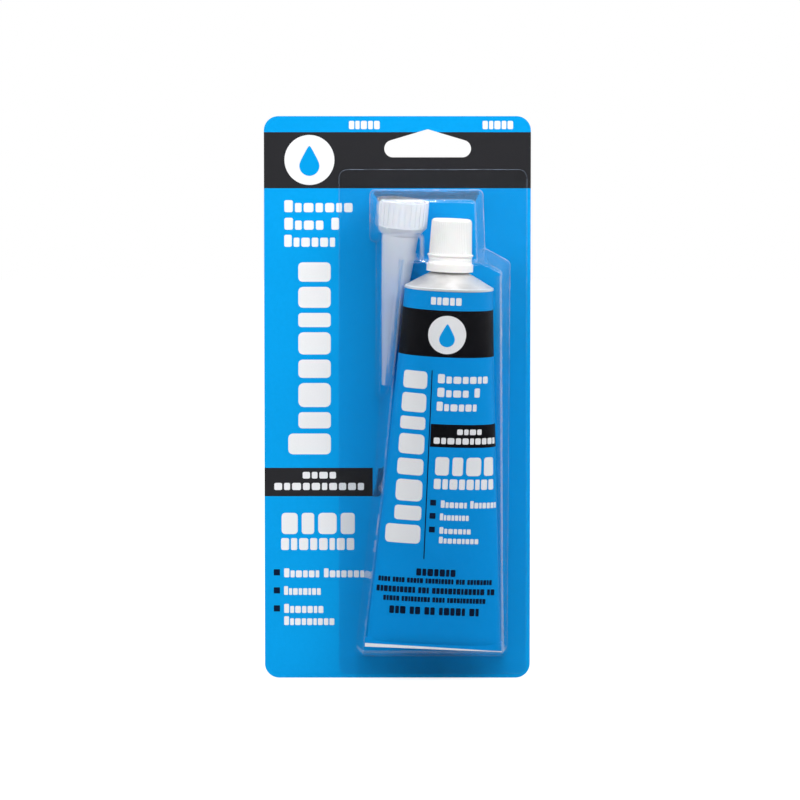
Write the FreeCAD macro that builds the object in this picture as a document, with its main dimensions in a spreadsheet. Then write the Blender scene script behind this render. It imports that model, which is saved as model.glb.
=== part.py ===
"""Caulk tube sealed on a hang card under a clear formed blister, with its cap and a spare nozzle.

Millimetres. The row origin is the roof of the card's hang hole, on the card's back face.
+Z is up, the printed front faces -Y and +X is to the right of someone who looks at the front.
"""

import FreeCAD
import Part
import Sketcher
import math
import os
import re

from FreeCAD import Placement, Rotation, Vector

SIZES = {
    # Printed card
    "card_width": 111.1,
    "card_height": 235.0,
    "card_board": 0.6,
    "card_corner": 6.0,
    # Hang hole: a low roof over a slot with round ends
    "hole_width": 36.1,
    "hole_height": 11.6,
    "hole_end_radius": 3.6,
    "hole_roof_radius": 1.6,
    "hole_below_top": 5.5,
    "hole_from_middle": 12.6,
    # Blister sheet and its sealed flange, which starts from the card's right and top edges
    "sheet_gauge": 0.4,
    "flange_width": 78.2,
    "flange_height": 211.0,
    "flange_corner": 3.4,
    "flange_from_right": 1.6,
    "flange_from_top": 22.2,
    "wall_draft": 7.0,
    "bend_radius": 2.2,
    # Upper pocket, for the cap and the nozzle's collar
    "upper_left": -24.1,
    "upper_right": 23.0,
    "upper_spread": 1.4,
    "upper_top": -25.1,
    "upper_step": -46.7,
    "upper_leg_left": -5.9,
    "upper_depth": 31.4,
    # Channel beside the tube, for the nozzle
    "channel_left": -21.5,
    "channel_end": -111.6,
    "channel_depth": 21.4,
    "channel_slope": 11.4,
    # Main pocket, over the tube
    "main_top": -48.0,
    "main_top_left": -14.6,
    "main_top_right": 24.6,
    "main_top_fall": 1.7,
    "main_shoulder_right": 34.4,
    "main_shoulder_fall": 7.1,
    "main_waist": -146.8,
    "main_waist_left": -22.2,
    "main_bottom": -220.3,
    "main_bottom_left": -30.1,
    "main_bottom_right": 33.4,
    "main_depth": 40.5,
    "main_slope": 7.3,
    # Soft metal tube, from its shoulder rim down to its folded end
    "tube_radius": 18.2,
    "tube_length": 151.4,
    "tube_flat_share": 0.53,
    "width_power": 1.12,
    "depth_power": 1.25,
    "rim_lip": 0.15,
    "rim_height": 0.8,
    "cone_height": 6.0,
    "neck_base_radius": 7.6,
    "neck_base_height": 1.4,
    "neck_radius": 6.9,
    "neck_height": 13.0,
    "hem_height": 4.0,
    "hem_front": 0.6,
    "hem_back": 1.6,
    "tube_lean_side": 2.37,
    "tube_lean_out": 2.6,
    "rim_right": 8.7,
    "rim_down": 64.8,
    # Screw cap
    "cap_gap": 0.4,
    "cap_height": 21.4,
    "cap_wall": 1.5,
    "cap_flange_radius": 9.6,
    "cap_flange_height": 2.9,
    "cap_band_radius": 8.95,
    "cap_band_height": 3.4,
    "cap_ring_radius": 9.4,
    "cap_ring_height": 0.6,
    "cap_grip_radius": 8.6,
    "cap_top_radius": 8.05,
    "cap_top_edge": 0.5,
    "cap_boss_radius": 5.2,
    "cap_rib_count": 60.0,
    "cap_rib_width": 0.45,
    "cap_rib_height": 0.2,
    # Foam liner inside the cap
    "liner_radius": 6.3,
    "liner_thickness": 1.2,
    # Spare nozzle, from its open collar down to its tip
    "nozzle_length": 77.8,
    "collar_radius": 10.8,
    "collar_height": 10.6,
    "collar_skirt": 1.3,
    "collar_sleeve": 1.3,
    "collar_groove": 8.4,
    "collar_taper": 3.8,
    "nozzle_body_radius": 7.65,
    "nozzle_tip_radius": 1.9,
    "nozzle_wall": 1.1,
    "flute_count": 30.0,
    "flute_width": 0.7,
    "flute_depth": 0.25,
    "nozzle_lean_side": 5.2,
    "nozzle_right": -10.2,
    "nozzle_down": 29.4,
    # Clearances
    "running_gap": 0.3,
    "thread_gap": 0.45,
}

document = FreeCAD.newDocument("carded_caulk_tube")
sheet = document.addObject("Spreadsheet::Sheet", "sizes")
for row, (alias, number) in enumerate(SIZES.items(), start=1):
    sheet.set(f"A{row}", alias)
    sheet.set(f"B{row}", str(number))
    sheet.setAlias(f"B{row}", alias)
document.recompute()


def size(name):
    """The value that the sheet holds for a driving size."""
    return float(sheet.get(name))


def reading(text):
    """An expression written with size names, as one that reads them from the sheet."""
    return re.sub(r"[a-z]+(_[a-z]+)+", lambda found: "sizes." + found[0], text)


def bind(feature, **expressions):
    """Binds properties of a feature to expressions in the sheet's sizes."""
    for name, text in expressions.items():
        feature.setExpression(name, reading(text))


def body_with(label):
    """A new body, named for its sub-part."""
    return document.addObject("PartDesign::Body", label)


def origin_item(body, role):
    """The plane or axis of the body's own origin that has this role."""
    return next(item for item in body.Origin.OriginFeatures if item.Role == role)


def sketch_in(body, role, name):
    """A sketch on one of the body's own origin planes."""
    sketch = body.newObject("Sketcher::SketchObject", name)
    sketch.AttachmentSupport = (origin_item(body, role), [""])
    sketch.MapMode = "FlatFace"
    return sketch


def hold(sketch, kind, *place, text):
    """Adds a constraint whose value is an expression in the sheet's sizes."""
    index = sketch.addConstraint(Sketcher.Constraint(kind, *place, 1.0))
    sketch.setExpression(f"Constraints[{index}]", reading(text))


def draw_outline(sketch, corners):
    """Closed outline of straight edges, each corner held at its (across, up) expressions."""
    count = len(corners)
    turn = 2 * math.pi / count
    start = [Vector(math.cos(turn * i), math.sin(turn * i), 0) for i in range(count)]
    for index in range(count):
        sketch.addGeometry(Part.LineSegment(start[index], start[(index + 1) % count]), False)
    for index, (across, up) in enumerate(corners):
        sketch.addConstraint(Sketcher.Constraint("Coincident", index, 2, (index + 1) % count, 1))
        if across == "0":
            sketch.addConstraint(Sketcher.Constraint("PointOnObject", index, 1, -2))
        else:
            hold(sketch, "DistanceX", index, 1, text=across)
        hold(sketch, "DistanceY", index, 1, text=up)


def edges_where(shape, test):
    """Numbers of the shape's edges that pass a test, as fillets count them."""
    return [number for number, edge in enumerate(shape.Edges, start=1) if test(edge)]


def runs_along(edge, axis):
    """Whether an edge is straight and parallel to an axis."""
    if not isinstance(edge.Curve, (Part.Line, Part.LineSegment)):
        return False
    return edge.tangentAt(edge.FirstParameter).cross(axis).Length < 1e-6


# Printed card: a rectangle of board with round corners and the hang hole through it

def make_card():
    """The card, standing up with its back on the plane Y = 0."""
    card = body_with("card")
    face = sketch_in(card, "XZ_Plane", "card_face")
    left = "0 - hole_from_middle - card_width / 2"
    right = "card_width / 2 - hole_from_middle"
    top = "hole_below_top"
    bottom = "hole_below_top - card_height"
    draw_outline(face, [(left, bottom), (right, bottom), (right, top), (left, top)])
    board = card.newObject("PartDesign::Pad", "board")
    board.Profile = face
    bind(board, Length="card_board")
    document.recompute()
    corners = card.newObject("PartDesign::Fillet", "card_corners")
    upright = edges_where(board.Shape, lambda edge: runs_along(edge, Vector(0, 1, 0)))
    corners.Base = (board, [f"Edge{number}" for number in upright])
    bind(corners, Radius="card_corner")
    document.recompute()
    hole = card.newObject("PartDesign::Pocket", "hang_hole")
    hole.Profile = draw_hang_hole(sketch_in(card, "XZ_Plane", "hole_outline"))
    hole.Type = "ThroughAll"
    hole.Midplane = True
    return card


def draw_hang_hole(sketch):
    """Slot with round ends under a low roof, all edges tangent, with its roof's top at the origin."""
    end_radius, roof_radius = size("hole_end_radius"), size("hole_roof_radius")
    end_across = size("hole_width") / 2 - end_radius
    end_down = size("hole_height") - end_radius
    roof = Vector(0, -roof_radius, 0)
    end = Vector(end_across, -end_down, 0)
    rise = (end - roof).Length
    slant = math.atan2(end.y - roof.y, end.x - roof.x) + math.acos((roof_radius - end_radius) / rise)
    out = Vector(math.cos(slant), math.sin(slant), 0)
    roof_right, end_top = roof + out * roof_radius, end + out * end_radius
    end_low = end - Vector(0, end_radius, 0)

    def mirror(point):
        return Vector(-point.x, point.y, 0)

    def arc(centre, radius, first, last):
        circle = Part.Circle(centre, Vector(0, 0, 1), radius)
        angles = [math.atan2(p.y - centre.y, p.x - centre.x) for p in (first, last)]
        return Part.ArcOfCircle(circle, *angles)

    right_end = sketch.addGeometry(arc(end, end_radius, end_low, end_top), False)
    right_roof = sketch.addGeometry(Part.LineSegment(end_top, roof_right), False)
    ridge = sketch.addGeometry(arc(roof, roof_radius, roof_right, mirror(roof_right)), False)
    left_roof = sketch.addGeometry(Part.LineSegment(mirror(roof_right), mirror(end_top)), False)
    left_end = sketch.addGeometry(arc(mirror(end), end_radius, mirror(end_top), mirror(end_low)), False)
    floor = sketch.addGeometry(Part.LineSegment(mirror(end_low), end_low), False)
    ring = [right_end, right_roof, ridge, left_roof, left_end, floor]
    for index, item in enumerate(ring):
        following = ring[(index + 1) % len(ring)]
        sketch.addConstraint(Sketcher.Constraint("Tangent", item, 2, following, 1))
    hold(sketch, "Radius", right_end, text="hole_end_radius")
    hold(sketch, "Radius", left_end, text="hole_end_radius")
    hold(sketch, "Radius", ridge, text="hole_roof_radius")
    hold(sketch, "DistanceX", right_end, 3, text="hole_width / 2 - hole_end_radius")
    hold(sketch, "DistanceX", left_end, 3, text="hole_end_radius - hole_width / 2")
    for item in (right_end, left_end):
        hold(sketch, "DistanceY", item, 3, text="hole_end_radius - hole_height")
    hold(sketch, "DistanceY", ridge, 3, text="0 - hole_roof_radius")
    sketch.addConstraint(Sketcher.Constraint("PointOnObject", ridge, 3, -2))
    return sketch


# Blister: pockets formed out of one clear sheet, with a flat flange sealed to the card

POCKETS = {
    "upper": {
        "corners": [
            ("upper_left", "upper_top"),
            ("upper_right", "upper_top"),
            ("upper_right + upper_spread", "main_top - upper_depth / 2"),
            ("upper_leg_left", "main_top - upper_depth / 2"),
            ("upper_leg_left", "upper_step"),
            ("upper_left", "upper_step"),
        ],
        "depth": "upper_depth",
    },
    "channel": {
        "corners": [
            ("channel_left", "(upper_top + upper_step) / 2"),
            ("upper_leg_left + channel_depth / 2", "(upper_top + upper_step) / 2"),
            ("upper_leg_left + channel_depth / 2", "channel_end"),
            ("channel_left", "channel_end"),
        ],
        "depth": "channel_depth",
        "slope": ("channel_slope", "upper_step"),
    },
    "main": {
        "corners": [
            ("main_top_left", "main_top"),
            ("main_top_right", "main_top - main_top_fall"),
            ("main_shoulder_right", "main_top - main_shoulder_fall"),
            ("main_bottom_right", "main_bottom"),
            ("main_bottom_left", "main_bottom"),
            ("main_waist_left", "main_waist"),
        ],
        "depth": "main_depth",
        "slope": ("main_slope", "main_top"),
    },
}


def pocket_form(name, pocket, inside):
    """Drafted solid of one pocket, its outer face or, if inside, its inner one a sheet's gauge in."""
    side = "inner" if inside else "outer"
    outline = document.addObject("Sketcher::SketchObject", f"{name}_{side}_outline")
    draw_outline(outline, pocket["corners"])
    outline.Placement = Placement(Vector(0, -size("card_board"), 0), Rotation(Vector(1, 0, 0), 90))
    base = outline
    gauge = " - sheet_gauge" if inside else ""
    if inside:
        base = document.addObject("Part::Offset2D", f"{name}_inner_face")
        base.Source = outline
        base.Join = "Intersection"
        bind(base, Value="0 - sheet_gauge")
    block = document.addObject("Part::Extrusion", f"{name}_{side}_block")
    block.Base = base
    block.DirMode = "Custom"
    block.Dir = Vector(0, -1, 0)
    block.Solid = True
    bind(block, LengthFwd=pocket["depth"] + gauge, TaperAngle="0 - wall_draft")
    if "slope" in pocket:
        block = slope_front(name, side, block, pocket, inside)
    document.recompute()
    back = -size("card_board")
    bends = document.addObject("Part::Fillet", f"{name}_{side}_form")
    bends.Base = block
    radius = size("bend_radius") - (size("sheet_gauge") if inside else 0)
    chosen = edges_where(block.Shape, lambda edge: edge.BoundBox.YMin < back - radius)
    bends.Edges = [(number, radius, radius) for number in chosen]
    return bends


def slope_front(name, side, block, pocket, inside):
    """Cuts the front of a pocket back to a plane that comes nearer to the card further down."""
    angle, start = pocket["slope"]
    front = size(pocket["depth"]) - (size("sheet_gauge") if inside else 0) + size("card_board")
    air = document.addObject("Part::Box", f"{name}_{side}_air")
    bind(air, Length="card_width * 2", Width="card_width", Height="card_height")
    shift = Vector(-size("card_width"), -size("card_width"), -size("card_height"))
    tilt = Rotation(Vector(1, 0, 0), size(angle))
    air.Placement = Placement(Vector(0, -front, size(start)) + tilt.multVec(shift), tilt)
    cut = document.addObject("Part::Cut", f"{name}_{side}_sloped")
    cut.Base = block
    cut.Tool = air
    return cut


def make_flange():
    """Flat rim of the sheet, sealed to the card's front."""
    plate = document.addObject("Part::Box", "flange_plate")
    bind(plate, Length="flange_width", Width="sheet_gauge", Height="flange_height")
    right = size("card_width") / 2 - size("hole_from_middle") - size("flange_from_right")
    top = size("hole_below_top") - size("flange_from_top")
    low = Vector(right - size("flange_width"), -size("card_board") - size("sheet_gauge"), top)
    plate.Placement = Placement(low - Vector(0, 0, size("flange_height")), Rotation())
    document.recompute()
    flange = document.addObject("Part::Fillet", "flange")
    flange.Base = plate
    upright = edges_where(plate.Shape, lambda edge: runs_along(edge, Vector(0, 1, 0)))
    radius = size("flange_corner")
    flange.Edges = [(number, radius, radius) for number in upright]
    return flange


def make_blister():
    """The formed sheet: the flange and the pockets' outer forms, less their inner forms."""
    outside = document.addObject("Part::MultiFuse", "blister_outside")
    outer = [pocket_form(name, pocket, inside=False) for name, pocket in POCKETS.items()]
    outside.Shapes = [make_flange(), *outer]
    hollow = document.addObject("Part::MultiFuse", "blister_hollow")
    hollow.Shapes = [pocket_form(name, pocket, inside=True) for name, pocket in POCKETS.items()]
    blister = document.addObject("Part::Cut", "blister")
    blister.Base = outside
    blister.Tool = hollow
    return blister


# Tube, cap and liner share one frame: the rim's plane, with +Z along the tube's axis to the neck

def tube_placement():
    """Where the tube's rim sits: on the card's front, leaning out and to the right."""
    lean_out = Rotation(Vector(1, 0, 0), size("tube_lean_out"))
    lean_side = Rotation(Vector(0, 1, 0), size("tube_lean_side"))
    rim_radius = size("tube_radius") + size("rim_lip")
    stand = size("card_board") + size("running_gap") + rim_radius
    rim = Vector(size("rim_right"), -stand, -size("rim_down"))
    return Placement(rim, lean_out.multiply(lean_side))


BODY_STEPS = (0, 0.08, 0.2, 0.35, 0.5, 0.65, 0.78, 0.88, 0.95, 1)


def make_tube():
    """Sealed tube: a round body that flattens to a folded hem, a shoulder cone and a plain neck."""
    sections = []
    for number, step in enumerate(BODY_STEPS):
        ring = document.addObject("Part::Ellipse", f"tube_section_{number}")
        bind(
            ring,
            MajorRadius=f"tube_radius * (1 + tube_flat_share * {step} ^ width_power)",
            MinorRadius=f"hem_back + (tube_radius - hem_back) * (1 - {step} ^ depth_power)",
        )
        ring.setExpression("Placement.Base.z", reading(f"{step} * (hem_height - tube_length)"))
        sections.append(ring)
    hem_line = document.addObject("Part::Ellipse", "tube_hem_section")
    bind(hem_line, MajorRadius="tube_radius * pi / 2", MinorRadius="hem_front")
    hem_line.setExpression("Placement.Base.z", reading("hem_height / 2 - tube_length"))
    sections.append(hem_line)
    body = document.addObject("Part::Loft", "tube_body")
    body.Sections = sections
    body.Solid = True

    hem = document.addObject("Part::Box", "tube_hem")
    bind(hem, Length="tube_radius * pi", Width="hem_front + hem_back", Height="hem_height")
    hem.Placement.Base = Vector(
        -size("tube_radius") * math.pi / 2, -size("hem_front"), -size("tube_length")
    )
    rim = document.addObject("Part::Cylinder", "tube_rim")
    bind(rim, Radius="tube_radius + rim_lip", Height="rim_height")
    rim.setExpression("Placement.Base.z", reading("0 - rim_height"))
    cone = document.addObject("Part::Cone", "tube_shoulder")
    bind(cone, Radius1="tube_radius", Radius2="neck_base_radius", Height="cone_height")
    base = document.addObject("Part::Cylinder", "neck_base")
    bind(base, Radius="neck_base_radius", Height="neck_base_height")
    base.setExpression("Placement.Base.z", reading("cone_height"))
    neck = document.addObject("Part::Cylinder", "neck")
    bind(neck, Radius="neck_radius", Height="neck_height")
    neck.setExpression("Placement.Base.z", reading("cone_height"))

    tube = document.addObject("Part::MultiFuse", "tube")
    tube.Shapes = [body, hem, rim, cone, base, neck]
    tube.Placement = tube_placement()
    return tube


CAP_FOOT = "cone_height + cap_gap"
CAP_GRIP_FOOT = f"{CAP_FOOT} + cap_flange_height + cap_band_height + cap_ring_height"
CAP_TOP = f"{CAP_FOOT} + cap_height"
LINER_FOOT = "cone_height + neck_height + running_gap"


def make_cap():
    """Ribbed screw cap with a wide foot and an inner boss that presses the liner on the neck."""
    cap = body_with("cap")
    section = sketch_in(cap, "XZ_Plane", "cap_section")
    bore = "neck_radius + thread_gap"
    skirt = "neck_base_radius + running_gap"
    skirt_end = "cone_height + neck_base_height + running_gap"
    boss_end = f"{LINER_FOOT} + liner_thickness + running_gap"
    flange_end = f"{CAP_FOOT} + cap_flange_height"
    band_end = f"{flange_end} + cap_band_height"
    corners = [
        ("0", boss_end),
        ("cap_boss_radius", boss_end),
        ("cap_boss_radius", f"{CAP_TOP} - cap_wall"),
        (bore, f"{CAP_TOP} - cap_wall"),
        (bore, skirt_end),
        (skirt, skirt_end),
        (skirt, CAP_FOOT),
        ("cap_flange_radius", CAP_FOOT),
        ("cap_flange_radius", flange_end),
        ("cap_band_radius", flange_end),
        ("cap_band_radius", band_end),
        ("cap_ring_radius", band_end),
        ("cap_ring_radius", CAP_GRIP_FOOT),
        ("cap_grip_radius", CAP_GRIP_FOOT),
        ("cap_top_radius", f"{CAP_TOP} - cap_top_edge"),
        ("cap_top_radius - cap_top_edge", CAP_TOP),
        ("0", CAP_TOP),
    ]
    draw_outline(section, corners)
    turned = body_turned(cap, section, "cap_turned")
    rib_line = sketch_in(cap, "XZ_Plane", "cap_rib_line")
    sunk = "cap_wall / 4"
    rib_top = f"{CAP_TOP} - cap_top_edge * 1.5"
    draw_outline(rib_line, [
        (f"cap_grip_radius - {sunk}", CAP_GRIP_FOOT),
        ("cap_grip_radius + cap_rib_height", CAP_GRIP_FOOT),
        ("cap_top_radius + cap_rib_height", rib_top),
        (f"cap_top_radius - {sunk}", rib_top),
    ])
    rib = cap.newObject("PartDesign::Pad", "cap_rib")
    rib.Profile = rib_line
    rib.SideType = "Symmetric"
    bind(rib, Length="cap_rib_width")
    repeat_around(cap, rib, "cap_ribs", "cap_rib_count")
    document.recompute()
    if cap.Shape.Volume <= turned.Shape.Volume:
        raise RuntimeError("the cap's ribs add nothing")
    cap.Placement = tube_placement()
    return cap


def body_turned(body, section, name):
    """A full turn of a section about its upright axis."""
    turned = body.newObject("PartDesign::Revolution", name)
    turned.Profile = section
    turned.ReferenceAxis = (section, ["V_Axis"])
    turned.Angle = 360
    document.recompute()
    return turned


def repeat_around(body, feature, name, count):
    """Repeats a feature round the body's upright axis, as often as the sheet says."""
    pattern = body.newObject("PartDesign::PolarPattern", name)
    pattern.Originals = [feature]
    pattern.Axis = (origin_item(body, "Z_Axis"), [""])
    pattern.Angle = 360
    bind(pattern, Occurrences=count)
    body.Tip = pattern
    return pattern


def make_liner():
    """Foam disc between the neck's mouth and the cap's boss."""
    liner = document.addObject("Part::Cylinder", "cap_liner")
    bind(liner, Radius="liner_radius", Height="liner_thickness")
    lift = size("cone_height") + size("neck_height") + size("running_gap")
    liner.Placement = tube_placement().multiply(Placement(Vector(0, 0, lift), Rotation()))
    return liner


# Nozzle: a threaded sleeve inside a fluted collar, over a long hollow cone that points down

def make_nozzle():
    """Spare nozzle, lying along the card with its collar up."""
    nozzle = body_with("nozzle")
    section = sketch_in(nozzle, "XZ_Plane", "nozzle_section")
    thread = "neck_radius + thread_gap"
    sleeve = f"{thread} + collar_sleeve"
    skirt = "collar_radius - collar_skirt"
    body_top = "0 - collar_height - collar_taper"
    corners = [
        (thread, "0"),
        (sleeve, "0"),
        (sleeve, "0 - collar_groove"),
        (skirt, "0 - collar_groove"),
        (skirt, "0"),
        ("collar_radius", "0"),
        ("collar_radius", "0 - collar_height"),
        ("nozzle_body_radius", body_top),
        ("nozzle_tip_radius", "0 - nozzle_length"),
        ("nozzle_tip_radius - nozzle_wall", "0 - nozzle_length"),
        ("nozzle_body_radius - nozzle_wall", body_top),
        (thread, "0 - collar_height"),
    ]
    draw_outline(section, corners)
    turned = body_turned(nozzle, section, "nozzle_turned")
    flute_line = sketch_in(nozzle, "XY_Plane", "flute_line")
    across = "flute_width / 2"
    floor = "collar_radius - flute_depth"
    draw_outline(flute_line, [
        (floor, f"0 - {across}"),
        ("collar_radius + flute_depth", f"0 - {across}"),
        ("collar_radius + flute_depth", across),
        (floor, across),
    ])
    flute = nozzle.newObject("PartDesign::Pocket", "flute")
    flute.Profile = flute_line
    bind(flute, Length="collar_height - flute_width")
    document.recompute()
    if turned.Shape.Volume - flute.Shape.Volume < 1e-3:
        flute.Reversed = True
    repeat_around(nozzle, flute, "flutes", "flute_count")
    narrowing = size("collar_radius") - size("nozzle_tip_radius")
    fall = math.atan2(narrowing, size("nozzle_length") - size("collar_height"))
    lean_out = Rotation(Vector(1, 0, 0), math.degrees(fall))
    lean_side = Rotation(Vector(0, 1, 0), size("nozzle_lean_side"))
    reach = size("collar_radius") * math.cos(fall) + size("collar_height") * math.sin(fall)
    stand = size("card_board") + size("running_gap") + reach
    mouth = Vector(size("nozzle_right"), -stand, -size("nozzle_down"))
    nozzle.Placement = Placement(mouth, lean_out.multiply(lean_side))
    return nozzle


def check(parts):
    """Stops if a feature failed or a sub-part is no valid solid."""
    for item in document.Objects:
        if {"Invalid", "Error"} & set(item.State):
            raise RuntimeError(f"{item.Label} failed: {item.State}")
    for item in parts:
        if item.Shape.isNull() or not item.Shape.isValid() or not item.Shape.Solids:
            raise RuntimeError(f"{item.Label} is no valid solid")


parts = [make_card(), make_blister(), make_tube(), make_cap(), make_liner(), make_nozzle()]
document.recompute()
check(parts)
os.makedirs("parts", exist_ok=True)
for item in parts:
    item.Shape.exportStep(f"parts/{item.Label}.step")
    solids = len(item.Shape.Solids)
    print(f"{item.Label}: {solids} solid, {item.Shape.Volume / 1000:.2f} cm3, {item.Shape.BoundBox}")
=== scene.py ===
"""Looks of a carded caulk tube: a printed hang card and a clear formed sheet over tube, cap and nozzle.

Sizes in the classes are in millimetres, in the frame's own axes: +Z up the card, -Y out of its front, +X to
the right. The print is generic: fields of colour, and rows of plain blocks where such a pack has its words.
"""

import sys

import logging
import math
from collections.abc import Callable
from dataclasses import dataclass
from enum import Enum

import bmesh
import bpy
from mathutils import Euler, Matrix, Vector
from mathutils.bvhtree import BVHTree


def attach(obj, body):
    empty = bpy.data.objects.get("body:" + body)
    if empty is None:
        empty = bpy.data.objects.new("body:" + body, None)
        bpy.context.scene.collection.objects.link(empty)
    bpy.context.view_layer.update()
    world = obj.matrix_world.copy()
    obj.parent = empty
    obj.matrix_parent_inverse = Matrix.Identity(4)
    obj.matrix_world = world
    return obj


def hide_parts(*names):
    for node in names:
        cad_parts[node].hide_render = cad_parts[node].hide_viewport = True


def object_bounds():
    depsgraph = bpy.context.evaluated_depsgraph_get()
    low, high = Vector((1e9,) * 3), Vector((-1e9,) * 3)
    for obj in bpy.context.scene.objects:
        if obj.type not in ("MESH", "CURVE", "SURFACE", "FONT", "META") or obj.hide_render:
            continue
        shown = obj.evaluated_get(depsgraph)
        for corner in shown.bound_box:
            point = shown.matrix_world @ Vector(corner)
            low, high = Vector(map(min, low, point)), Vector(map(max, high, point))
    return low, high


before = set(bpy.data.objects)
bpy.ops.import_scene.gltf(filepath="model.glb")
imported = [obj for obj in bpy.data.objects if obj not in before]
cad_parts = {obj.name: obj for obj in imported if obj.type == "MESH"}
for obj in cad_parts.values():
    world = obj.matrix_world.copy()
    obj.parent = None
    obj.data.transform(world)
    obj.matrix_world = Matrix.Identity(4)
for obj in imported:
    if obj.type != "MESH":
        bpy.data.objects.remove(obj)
CAD_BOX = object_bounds()
MM = 0.001
LOG = logging.getLogger("carded_tube")
CARD_FRONT = -0.6
TUBE_RIM = Vector((8.7, -19.25, -64.8))
TUBE_TURNS = (2.6, 2.37)
NOZZLE_TOP = Vector((-10.2, -13.0, -29.4))
NOZZLE_TURNS = (7.54, 5.2)

Point = tuple[float, float]
Colour = tuple[float, float, float]
Surface = Callable[[float, float, float], Vector]
Section = list[tuple[float, Vector, Vector]]
Socket = bpy.types.NodeSocket
Material = bpy.types.Material


class Ink(Enum):
    """The inks of the print, as linear colours."""

    WHITE = (0.865, 0.87, 0.88)
    BLUE = (0.0, 0.335, 0.785)
    BLUE_LIGHT = (0.002, 0.362, 0.840)
    TUBE_BLUE = (0.0, 0.285, 0.735)
    TUBE_BLUE_LIGHT = (0.003, 0.315, 0.790)
    BLACK = (0.024, 0.024, 0.027)
    TUBE_BLACK = (0.006, 0.006, 0.008)
    NAVY = (0.003, 0.012, 0.040)


@dataclass(frozen=True)
class Noise:
    """A noise pattern: cells in each millimetre, octaves, the small ones' strength, and relief in metres."""

    scale: float
    detail: float = 2.0
    roughness: float = 0.5
    relief: float = 0.0


class Nodes:
    """A node tree, and short calls for the nodes that the finishes and the world share."""

    noise_spread = (0.3, 0.7)

    def __init__(self, tree: bpy.types.NodeTree) -> None:
        """Start with an empty tree.

        Args:
            tree: the tree, whose nodes are removed.
        """
        self.tree = tree
        self.tree.nodes.clear()

    def feed(self, socket: Socket, value: object) -> None:
        """Set a socket, or link it.

        Args:
            socket: the input.
            value: another node's output, a number or a colour.
        """
        if isinstance(value, Socket):
            self.tree.links.new(value, socket)
        elif socket.type == "RGBA":
            socket.default_value = (*value[:3], 1.0)
        else:
            socket.default_value = value

    def node(self, kind: str, inputs: dict[str, object] | None = None, **settings: object) -> bpy.types.Node:
        """Add a node.

        Args:
            kind: the node's type, without the leading ShaderNode.
            inputs: values or links by input name.
            settings: the node's own properties.

        Returns:
            The node.
        """
        made = self.tree.nodes.new("ShaderNode" + kind)
        for key, value in settings.items():
            setattr(made, key, value)
        for key, value in (inputs or {}).items():
            self.feed(made.inputs[key], value)
        return made

    def math(self, operation: str, *values: object, clamp: bool = False) -> Socket:
        """Combine numbers.

        Args:
            operation: the Math node's operation.
            values: its inputs in order.
            clamp: keep the result from 0 to 1.

        Returns:
            The result.
        """
        made = self.node("Math", operation=operation, use_clamp=clamp)
        for socket, value in zip(made.inputs, values):
            self.feed(socket, value)
        return made.outputs[0]

    def times(self, *values: object) -> Socket:
        """Multiply numbers.

        Args:
            values: two or more of them.

        Returns:
            Their product.
        """
        product = values[0]
        for value in values[1:]:
            product = self.math("MULTIPLY", product, value)
        return product

    def between(self, value: Socket, low: float, high: float) -> Socket:
        """Mask a range.

        Args:
            value: the number to test.
            low: the range's lower end.
            high: its upper end.

        Returns:
            1 where value lies inside, else 0.
        """
        return self.math("COMPARE", value, (low + high) / 2, (high - low) / 2)

    def place(self, location: Vector = Vector(), turn: Euler = Euler()) -> Socket:
        """Read a point of the surface in a piece's own axes, in millimetres.

        Args:
            location: those axes' origin in the frame, in metres.
            turn: their turn in the frame.

        Returns:
            The point.
        """
        coordinates = self.node("TexCoord").outputs["Object"]
        own = self.node("Mapping", {"Vector": coordinates, "Location": location, "Rotation": turn},
                        vector_type="TEXTURE")
        return self.node("VectorMath", {0: own.outputs[0], "Scale": 1 / MM}, operation="SCALE").outputs[0]

    def split(self, vector: Socket) -> list[Socket]:
        """Return the X, Y and Z of a vector."""
        return list(self.node("SeparateXYZ", {0: vector}).outputs)

    def mix(self, share: object, first: object, second: object) -> Socket:
        """Blend two colours.

        Args:
            share: how much of the second.
            first: a colour.
            second: another.

        Returns:
            The blend.
        """
        made = self.node("Mix", data_type="RGBA")
        for socket, value in zip((made.inputs[0], made.inputs[6], made.inputs[7]), (share, first, second)):
            self.feed(socket, value)
        return made.outputs[2]

    def noise(self, vector: Socket, noise: Noise, target: Point | None = None) -> Socket:
        """Make a noise pattern.

        Args:
            vector: where it is read.
            noise: the pattern.
            target: a range to fill with it.

        Returns:
            A number about 0.5, or within the range.
        """
        made = self.node("TexNoise", {"Vector": vector, "Scale": noise.scale, "Detail": noise.detail,
                                      "Roughness": noise.roughness})
        return made.outputs[0] if target is None else self.span(made.outputs[0], self.noise_spread, target)

    def span(self, value: Socket, source: Point, target: Point = (0.0, 1.0), smooth: bool = False) -> Socket:
        """Carry a number from one range to another.

        Args:
            value: the number.
            source: the range it comes from.
            target: the range it goes to.
            smooth: ease in and out.

        Returns:
            The new number.
        """
        made = self.node("MapRange", interpolation_type="SMOOTHSTEP" if smooth else "LINEAR")
        for socket, number in zip(made.inputs, (value, *source, *target)):
            self.feed(socket, number)
        return made.outputs[0]

    def bump(self, height: Socket, distance: float, before: object = None) -> Socket:
        """Turn a height into a bent normal.

        Args:
            height: a number from 0 to 1.
            distance: what 1 stands for, in metres.
            before: a normal to start from.

        Returns:
            The normal.
        """
        made = self.node("Bump", {"Height": height, "Distance": distance, "Strength": 1.0})
        if before is not None:
            self.feed(made.inputs["Normal"], before)
        return made.outputs[0]

    def uneven(self, vector: Socket, *noises: Noise) -> Socket:
        """Bend the normal with the relief of noise patterns.

        Args:
            vector: where they are read.
            noises: the patterns, in order.

        Returns:
            The normal.
        """
        normal = None
        for noise in noises:
            normal = self.bump(self.noise(vector, noise), noise.relief, normal)
        return normal


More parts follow.
